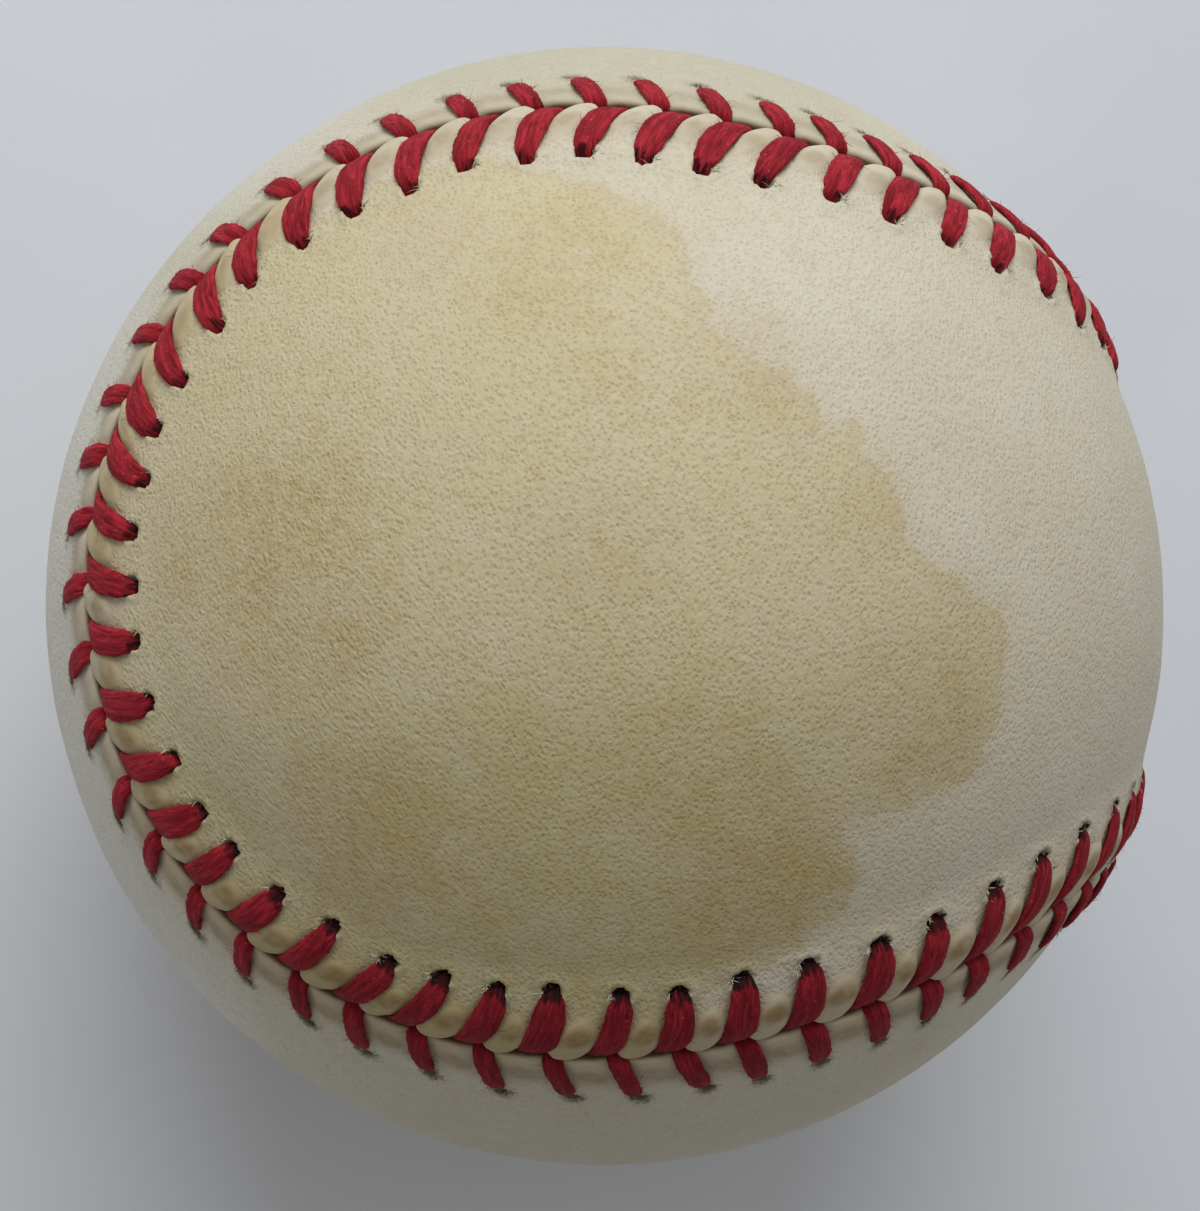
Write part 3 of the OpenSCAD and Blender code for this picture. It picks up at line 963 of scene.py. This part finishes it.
class Material(Graph):
    """A new material's tree: its colour so far, and a point's place in millimetres."""

    def __init__(self, name, colour):
        self.colour = colour
        self.material = bpy.data.materials.new(name)
        self.material.use_nodes = True
        self.material.diffuse_color = colour
        super().__init__(self.material.node_tree)
        self.place = self.scaled(self.node("TexCoord", {})["Object"], 1 / MM, 1 / MM, 1 / MM)
        self.x, self.y, _ = self.node("SeparateXYZ", {0: self.place})

    def paint(self, share, *colour):
        """Lays a share of a colour over what is there."""
        self.colour = self.mix(share, self.colour, rgb(*colour))

    def set(self, **values):
        """The material, with its colour and these values in its shader."""
        inputs = self.tree.nodes["Principled BSDF"].inputs
        self.feed(inputs["Base Color"], self.colour)
        for key, value in values.items():
            self.feed(inputs[key.replace("_", " ")], value)
        return self.material


# Stains on panel a: places in the photograph in pixels, with a reach in millimetres and a strength
YELLOWED = (
    (415, 490, 19.6, 0.9), (788, 388, 2.0, 1.0), (850, 490, 3.4, 0.9), (890, 680, 8.0, 0.8),
    (700, 620, 11.0, 0.85), (590, 820, 12.2, 1.0), (752, 885, 5.0, 1.0), (250, 700, 11.0, 0.8),
    (330, 950, 8.0, 0.9), (130, 430, 9.0, 0.75), (205, 290, 8.0, 0.7), (540, 1010, 8.0, 0.8),
)
BROWNED = (
    (560, 262, 4.0, 0.55), (740, 362, 3.0, 0.6), (780, 388, 1.8, 0.7), (620, 350, 3.0, 0.4),
    (870, 522, 2.6, 0.6), (590, 545, 4.0, 0.5), (180, 552, 2.8, 0.8), (285, 548, 5.5, 1.0),
    (335, 595, 3.4, 0.9), (250, 650, 3.2, 0.6), (385, 845, 4.8, 0.9), (330, 800, 2.6, 0.5),
    (700, 770, 4.5, 0.7), (725, 830, 3.4, 0.8), (765, 885, 4.4, 1.0), (925, 715, 4.2, 0.9),
    (960, 640, 3.4, 0.5),
)
LEFT_PALE = (
    (680, 165, 5.6, 1.0), (770, 190, 7.0, 1.0), (872, 250, 11.4, 1.0), (1002, 438, 9.4, 1.0),
    (1110, 640, 5.0, 0.9), (960, 850, 5.6, 0.7), (430, 235, 3.4, 0.5), (190, 640, 1.6, 0.4),
    (215, 690, 2.0, 0.5), (250, 755, 2.0, 0.5), (292, 830, 2.2, 0.4),
)

# Panel b is painted whiter at places, partly whiter leather and partly painted light along the ball's left
# edge,
# and duller at the top: places as above
WHITER_AND_LIT = (
    (60, 470, 13.0, 0.9), (70, 720, 9.0, 1.0), (130, 900, 11.0, 1.0), (262, 165, 8.0, 0.5),
)
DULLER = ((640, 62, 15.0, 1.0),)


def patches(g, shifted, places, soft):
    """The strongest of round patches, whose edges fade over a distance on either side."""
    total = 0.0
    for x, y, reach, strength in places:
        span = g.vector("DISTANCE", shifted, on_ball(x, y) * BALL_R, output="Value")
        total = g.math("MAXIMUM", total, g.range(span, reach - soft, reach + soft, strength, 0.0))
    return total


def stains(g):
    """Paints panel a's tide-marked yellow stains with the brown ones in them, the yellow darker low on the
    ball as painted shade; how yellow it is.
    """
    shifted = g.wandered(g.place, (0.14, 5.0), (0.5, 2.6), (2.2, 0.9))
    cloud = g.noise(g.place, 0.22, 5.0, 0.68)
    speckle = g.noise(g.place, 1.5, 3.0, 0.7)
    pale = patches(g, shifted, LEFT_PALE, 1.5)
    yellow = g.times(patches(g, shifted, YELLOWED, 1.3), g.math("SUBTRACT", 1.0, pale))
    yellow = g.times(yellow, g.range(cloud, 0.3, 0.62, 0.6, 1.0))
    tide = g.times(g.range(yellow, 0.08, 0.3), g.range(yellow, 0.35, 0.7, 1.0, 0.0))
    brown = g.times(patches(g, shifted, BROWNED, 2.2), g.range(cloud, 0.30, 0.60, 0.35, 1.0))
    brown = g.times(brown, g.range(speckle, 0.38, 0.60, 0.35, 1.0))
    # Painted shade: the yellow is painted darker low on the ball
    low = g.range(g.y, -12.0, -3.0, 1.0, 0.0)
    g.colour = g.mix(yellow, g.colour, g.mix(low, rgb(199, 187, 147), rgb(183, 172, 127)))
    g.paint(g.times(tide, 0.28), 184, 163, 114)
    g.paint(g.times(brown, 0.62), 176, 152, 102)
    return yellow


def whiter_lit_and_duller_places(g):
    """Paints panel b's whiter places, partly painted light along the ball's left edge, and its duller ones,
    none of which is yellow.
    """
    shifted = g.wandered(g.place, (0.08, 9.0))
    g.paint(patches(g, shifted, WHITER_AND_LIT, 4.5), 214, 212, 202)
    g.paint(patches(g, shifted, DULLER, 4.5), 190, 184, 163)
    return 0.0


# How far the short grooves of the leather slant on the left of the ball
SLANT_LEFT = math.radians(-38)

# The two panels' finish: where the dirt and painted shade on the lip's front start, the colour and share of
# the rubbed spots, and the share of the smudges, part dirt and part painted shade, of which another share is
# left at the ball's top
SEAM_DIRT_AND_SHADE_START = by_panel(0.16, 0.10)
RUB_COLOUR = by_panel((132, 102, 56), (124, 106, 66))
RUB_SHARE = by_panel(0.85, 0.55)
SMUDGE_AND_SHADE_SHARE = by_panel(0.35, 0.95)
SMUDGE_AND_SHADE_AT_TOP = by_panel(0.0, 0.5)


def strokes(g, turn):
    """Fine short grooves that run up the picture, turned by an angle."""
    return g.noise(g.scaled(g.turned(g.place, (0, 0, turn)), 1.0, 0.42, 1.0), 5.0, 2.0, 0.6)


def grained(g, yellow):
    """Paints pits, and painted highlights and painted shade on short grooves, which are pressed flat on the
    pillows; their relief as a normal.
    """
    open_grain = g.range(g.attribute("pillow_middle"), 0.85, 1.15)
    cells = {"Vector": g.scaled(g.wandered(g.place, (3.0, 0.20)), 1.0, 0.75, 1.0), "Scale": 4.2}
    pit = g.range(g.node("TexVoronoi", cells, feature="F1")["Distance"], 0.0, 0.62, 1.0, 0.0)
    pit = g.times(pit, g.range(open_grain, 0.0, 1.0, 0.12, 1.0))
    g.paint(g.times(pit, g.range(yellow, 0.0, 1.0, 0.18, 0.34)), 152, 124, 76)

    slanted = g.range(g.x, -24.0, -4.0, 1.0, 0.0)
    upright = g.math("SUBTRACT", 1.0, slanted)
    grooves = g.math("ADD", g.times(slanted, strokes(g, SLANT_LEFT)), g.times(upright, strokes(g, 0.0)))
    grooves = g.times(grooves, g.range(open_grain, 0.0, 1.0, 0.15, 1.0))
    # Painted highlights on the grooves' ridges, and painted shade in their hollows on the left of the ball,
    # where the light grazes
    g.paint(g.range(grooves, 0.52, 0.72, 0.0, 0.18), 214, 204, 174)
    g.paint(g.times(g.range(grooves, 0.48, 0.30, 0.0, 0.22), slanted), 150, 132, 84)

    pebbles = g.times(g.noise(g.place, 4.0, 2.0, 0.5), g.range(open_grain, 0.0, 1.0, 0.1, 1.0))
    normal = g.bump(g.times(grooves, g.range(slanted, 0.0, 1.0, 1.0, 1.5)), 0.085, 0.8)
    normal = g.bump(pebbles, 0.05, 0.6, normal)
    return g.bump(g.times(pit, -1.0), 0.04, 0.8, normal)


def wear_and_painted_shade(g, panel):
    """Paints the wear round the seam and the rubbed spots, with painted shade that makes both stronger low on
    the ball; dirt and painted shade in the seam; the smudges by the holes, part dirt and part painted shade;
    and painted shade in the holes.
    """
    # Painted shade: the wear round the seam and the rubbed spots are painted stronger low on the ball, away
    # from the light
    low = g.range(g.y, -30.0, 14.0, 1.0, 0.45)
    g.paint(g.times(g.range(g.attribute("distance"), 2.4, 4.0, 0.42, 0.0), low), 166, 140, 88)
    blotch = g.range(g.noise(g.place, 0.9, 3.0, 0.6), 0.3, 0.6, 0.5, 1.0)
    rub = g.times(g.range(g.attribute("rub"), 0.15, 0.85), blotch, low, RUB_SHARE[panel])
    g.paint(rub, *RUB_COLOUR[panel])
    # Dirt and painted shade on the lip's front, down into the seam
    dirt_and_shade_start = SEAM_DIRT_AND_SHADE_START[panel]
    g.paint(g.times(g.range(g.attribute("down"), dirt_and_shade_start, dirt_and_shade_start + 0.3), 0.8), 78, 56, 36)

    ragged = g.swing(g.noise(g.place, 3.6, 2.0, 0.7), 1.9)
    # The smudges beside the holes, part dirt and part painted shade, painted less at the top of the ball
    from_smudge_and_shade = g.math("ADD", g.attribute("from_smudge_and_shade"), ragged)
    smudge_and_shade = g.range(from_smudge_and_shade, 0.25, 1.30, SMUDGE_AND_SHADE_SHARE[panel], 0.0)
    g.paint(g.times(smudge_and_shade, g.range(g.y, -10.0, 26.0, 1.0, SMUDGE_AND_SHADE_AT_TOP[panel])), 92, 78, 42)
    # Painted shade: the holes' floors are painted dark brown
    from_hole = g.math("ADD", g.attribute("from_hole"), ragged)
    hole = g.times(g.range(from_hole, 0.75, 1.05, 1.0, 0.0), g.range(g.attribute("pit"), 0.2, 0.8))
    g.paint(hole, 40, 28, 20)


def leather_material(name, panel, pale, cream, paint_marks):
    """Cloudy leather with its panel's own marks, and painted highlights and painted shade."""
    g = Material(name, pale)
    g.colour = g.mix(g.range(g.noise(g.place, 0.11, 3.0, 0.55), 0.35, 0.65), cream, pale)
    yellow = paint_marks(g)
    tint = g.noise(g.place, 1.1, 2.0, 0.6)
    g.paint(g.range(tint, 0.5, 0.8, 0.0, 0.22), 180, 152, 104)
    g.paint(g.range(tint, 0.5, 0.2, 0.0, 0.22), 206, 203, 188)
    normal = grained(g, yellow)
    wear_and_painted_shade(g, panel)
    roughness = g.range(g.noise(g.place, 3.0, 3.0, 0.6), 0.2, 0.8, 0.5, 0.66)
    return g.set(Roughness=roughness, Normal=normal, Specular_IOR_Level=0.3)


def thread_material(name):
    """Flat waxed thread: fibres along the strand, painted shade low on the ball, and a dark end, part dirt
    and part painted shade, where it leaves its hole.
    """
    g = Material(name, rgb(168, 40, 52))
    strand = g.attribute("strand", "Vector")
    fibres = g.noise(g.scaled(strand, 5.0, 0.8, 3.7), 1.0, 4.0, 0.7, 0.8)
    plies = g.noise(g.scaled(strand, 2.4, 0.35, 3.7), 1.0, 1.0, 0.5)
    g.colour = g.mix(g.range(fibres, 0.28, 0.72), rgb(112, 15, 26), rgb(188, 48, 60))
    g.paint(g.range(plies, 0.45, 0.68, 0.0, 0.6), 116, 14, 26)
    # Painted shade: the thread is painted darker low on the ball, away from the light
    g.paint(g.range(g.y, -32.0, -8.0, 0.38, 0.0), 62, 8, 15)

    # The dark ends, part dirt and part painted shade of the holes, are painted shorter in the middle and at
    # the top of the ball
    ragged = g.swing(g.noise(g.scaled(strand, 4.0, 1.2, 3.7), 1.0, 2.0), 2.2)
    less_shade_higher = g.math("ADD", g.range(g.y, -28.0, -8.0, 0.0, 0.42), g.range(g.y, 8.0, 22.0, 0.0, 0.10))
    dirt_and_shade = g.math("SUBTRACT", g.math("ADD", g.attribute("dark_end"), ragged), less_shade_higher)
    g.paint(g.range(dirt_and_shade, 0.25, 0.75), 66, 10, 18)
    g.paint(g.range(dirt_and_shade, 0.75, 1.05), 28, 12, 10)
    dust = g.range(g.noise(g.place, 4.5, 1.0), 0.70, 0.80)
    g.paint(g.times(dust, 0.3), 222, 150, 150)
    normal = g.bump(fibres, 0.10, 0.8, g.bump(plies, 0.20, 0.8))
    return g.set(Roughness=0.78, Normal=normal, Specular_IOR_Level=0.14)


def fibre_material(name, dark, pale):
    """Loose fibres, each with its own tone between dark and pale, and the splits in a tone past both, which
    paints them dark as shade.
    """
    g = Material(name, pale)
    tone = g.attribute("tone")
    share = g.math("ADD", tone, g.swing(g.noise(g.place, 2.0, 2.0), 0.5), clamp=True)
    g.colour = g.mix(share, pale, dark)
    # Painted shade: the splits
    g.paint(g.range(tone, 1.5, 2.5), 38, 28, 20)
    return g.set(Roughness=0.8, Specular_IOR_Level=0.2)


# Yarn: how the layers of turns are tilted, and the scale of a wave whose bands are a millimetre apart
YARN_TILTS = ((0.3, 0.2, 0.0), (1.3, 0.7, 0.4), (2.2, 1.5, 1.1), (0.7, 2.4, 1.9))
WAVE_PER_MM = 0.314


def yarn_material(name, dark, pale, yarn_mm):
    """Wound yarn: layers of parallel turns that cross, one over the other by noise."""
    g = Material(name, pale)
    height = None
    for tilt in YARN_TILTS:
        place = g.turned(g.place, tilt)
        wave = {"Vector": place, "Scale": WAVE_PER_MM / yarn_mm, "Distortion": 0.6, "Detail Scale": 0.4}
        turns = g.node("TexWave", wave, bands_direction="X")["Fac"]
        over = g.range(g.noise(place, 0.07, 1.0), 0.48, 0.52)
        height = turns if height is None else g.mix(over, height, turns)
    fuzz = g.noise(g.place, 3.0, 3.0, 0.6)
    g.colour = g.mix(g.range(height, 0.1, 0.8), dark, pale)
    g.colour = g.mix(g.times(fuzz, 0.4), g.colour, dark)
    return g.set(Roughness=0.9, Normal=g.bump(fuzz, 0.08, 0.5, g.bump(height, yarn_mm * 0.5)))


def cork_material(name):
    """Pressed cork: grains of several browns with dark gaps between them."""
    g = Material(name, rgb(178, 132, 84))
    grains = g.node("TexVoronoi", {"Vector": g.place, "Scale": 0.7}, feature="F1")
    tone = g.node("SeparateColor", {0: grains["Color"]})[0]
    gaps = g.range(grains["Distance"], 0.45, 0.75)
    g.colour = g.mix(tone, rgb(138, 94, 56), rgb(202, 160, 108))
    g.paint(g.times(gaps, 0.6), 80, 52, 30)
    normal = g.bump(g.noise(g.place, 4.0, 3.0), 0.06, 0.6, g.bump(g.times(gaps, -1.0), 0.2, 0.8))
    return g.set(Roughness=0.85, Normal=normal)


def rubber_material(name, colour, *bloom):
    """Moulded rubber, cloudy with a paler bloom."""
    g = Material(name, colour)
    cloud = g.noise(g.place, 0.35, 3.0, 0.6)
    g.paint(g.range(cloud, 0.35, 0.7), *bloom)
    roughness = g.range(cloud, 0.3, 0.7, 0.5, 0.75)
    return g.set(Roughness=roughness, Normal=g.bump(g.noise(g.place, 6.0, 2.0), 0.03, 0.6))


def finish_piece(piece, material, slot, *nodes):
    """Gives a piece its material, its body and the nodes that it replaces; its slot is not used."""
    piece.data.materials.append(material)
    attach(piece, "root")
    if nodes:
        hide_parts(*nodes)


# The pieces that show
leather_a = leather_material("leather_a", PANEL_A, rgb(207, 200, 182), rgb(203, 195, 173), stains)
leather_b = leather_material("leather_b", PANEL_B, rgb(204, 198, 180), rgb(200, 193, 172), whiter_lit_and_duller_places)
thread_red = thread_material("thread_red")
torn_fibre = fibre_material("torn_fibre", rgb(98, 86, 48), rgb(222, 212, 186))
red_fibre = fibre_material("red_fibre", rgb(116, 14, 26), rgb(196, 52, 66))
finish_piece(make_panel("leather_panel_a", PANEL_A), leather_a, "cover_leather", "cover_panel_a")
finish_piece(make_panel("leather_panel_b", PANEL_B), leather_b, "cover_leather", "cover_panel_b")
finish_piece(make_thread("laced_thread_first_end", PANEL_A), thread_red, "waxed_thread", "thread_first_end")
finish_piece(make_thread("laced_thread_second_end", PANEL_B), thread_red, "waxed_thread", "thread_second_end")
leather_fibres = joined(torn_leather(PANEL_A, 16, 41), torn_leather(PANEL_B, 20, 42), cracks(PANEL_A, 3, 45))
finish_piece(make_fibres("torn_leather_fibres", *leather_fibres), torn_fibre, "cover_leather")
thread_fibres = joined(loose_thread(PANEL_A, 16, 43), loose_thread(PANEL_B, 14, 44))
finish_piece(make_fibres("loose_thread_fibres", *thread_fibres), red_fibre, "waxed_thread")

# The pieces inside, which keep their shapes
black_rubber = rubber_material("black_rubber", rgb(34, 34, 35), 58, 57, 56)
inner_materials = {
    "cork_core": cork_material("composition_cork"),
    "black_rubber_shell_upper": black_rubber,
    "black_rubber_shell_lower": black_rubber,
    "red_rubber_gasket": rubber_material("gasket_rubber", rgb(132, 34, 30), 156, 58, 50),
    "red_rubber_cover": rubber_material("red_rubber", rgb(150, 40, 34), 172, 66, 56),
    "grey_wool_winding_inner": yarn_material("inner_grey_wool", rgb(92, 90, 86), rgb(158, 155, 148), 1.1),
    "white_wool_winding": yarn_material("white_wool", rgb(188, 182, 168), rgb(236, 232, 220), 0.9),
    "grey_wool_winding_outer": yarn_material("outer_grey_wool", rgb(104, 102, 97), rgb(170, 167, 160), 0.9),
    "cotton_finish_winding": yarn_material("finish_cotton", rgb(196, 188, 166), rgb(240, 236, 222), 0.35),
}
for node_name, material in inner_materials.items():
    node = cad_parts[node_name]
    node.data.materials.clear()
    node.data.materials.append(material)

# Table and light
FLOOR_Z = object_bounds()[0][2] / MM
FLOOR_SIZE = 900
FLOOR_STEPS = 24
ROOM_DARKEST = 0.10
ROOM_BRIGHTEST = 0.70


def make_floor():
    """A pale sheet, level under the ball."""
    places = (np.arange(FLOOR_STEPS + 1) / FLOOR_STEPS - 0.5) * FLOOR_SIZE
    x, y = np.meshgrid(places, places, indexing="ij")
    points = np.stack([x.ravel(), y.ravel(), np.full(x.size, FLOOR_Z)], axis=1)
    row = FLOOR_STEPS + 1
    corners = [i * row + j for i in range(FLOOR_STEPS) for j in range(FLOOR_STEPS)]
    faces = [(corner, corner + row, corner + row + 1, corner + 1) for corner in corners]
    floor = make_mesh("floor", points, faces, {})
    g = Material("paper", rgb(218, 221, 224))
    g.colour = rgb(212, 216, 224)
    g.paint(g.range(g.noise(g.place, 0.02, 3.0), 0.3, 0.7), 217, 221, 228)
    floor.data.materials.append(g.set(Roughness=0.9, Specular_IOR_Level=0.1))


def make_lamp(name, way, distance, size, watts, colour):
    """A round lamp that faces the ball from a way and a distance."""
    light = bpy.data.lights.new(name, "AREA")
    light.shape = "DISK"
    light.size = size * MM
    light.energy = watts
    light.color = colour
    lamp = add_object(name, light)
    toward = Vector(way).normalized()
    lamp.location = toward * distance * MM
    lamp.rotation_mode = "QUATERNION"
    lamp.rotation_quaternion = toward.to_track_quat("Z", "Y")


def make_room_light():
    """Soft light from all round, stronger from the window's side, and pale where it is seen."""
    world = bpy.data.worlds.new("room")
    bpy.context.scene.world = world
    world.use_nodes = True
    g = Graph(world.node_tree)
    window_side = g.node("SeparateXYZ", {0: g.node("TexCoord", {})["Generated"]})["Y"]
    inputs = {"Value": window_side, "From Min": -1, "To Min": ROOM_DARKEST, "To Max": ROOM_BRIGHTEST}
    strength = g.node("MapRange", inputs)[0]
    lit = g.node("Background", {"Color": (1.0, 0.975, 0.93, 1), "Strength": strength})[0]
    seen = g.node("Background", {"Color": (0.93, 0.95, 1.0, 1), "Strength": 0.65})[0]
    path = g.node("LightPath", {})
    either = g.math("MAXIMUM", path["Is Camera Ray"], path["Is Glossy Ray"])
    any_seen = g.math("MAXIMUM", either, path["Is Transmission Ray"])
    both = g.node("MixShader", {0: any_seen, 1: lit, 2: seen})[0]
    g.feed(world.node_tree.nodes["World Output"].inputs["Surface"], both)


make_camera()
make_floor()
make_lamp("window", (-0.02, 0.80, 0.72), 600, 460, 2.4, (0.96, 0.985, 1.0))
make_room_light()
bpy.context.scene.view_settings.view_transform = "Standard"
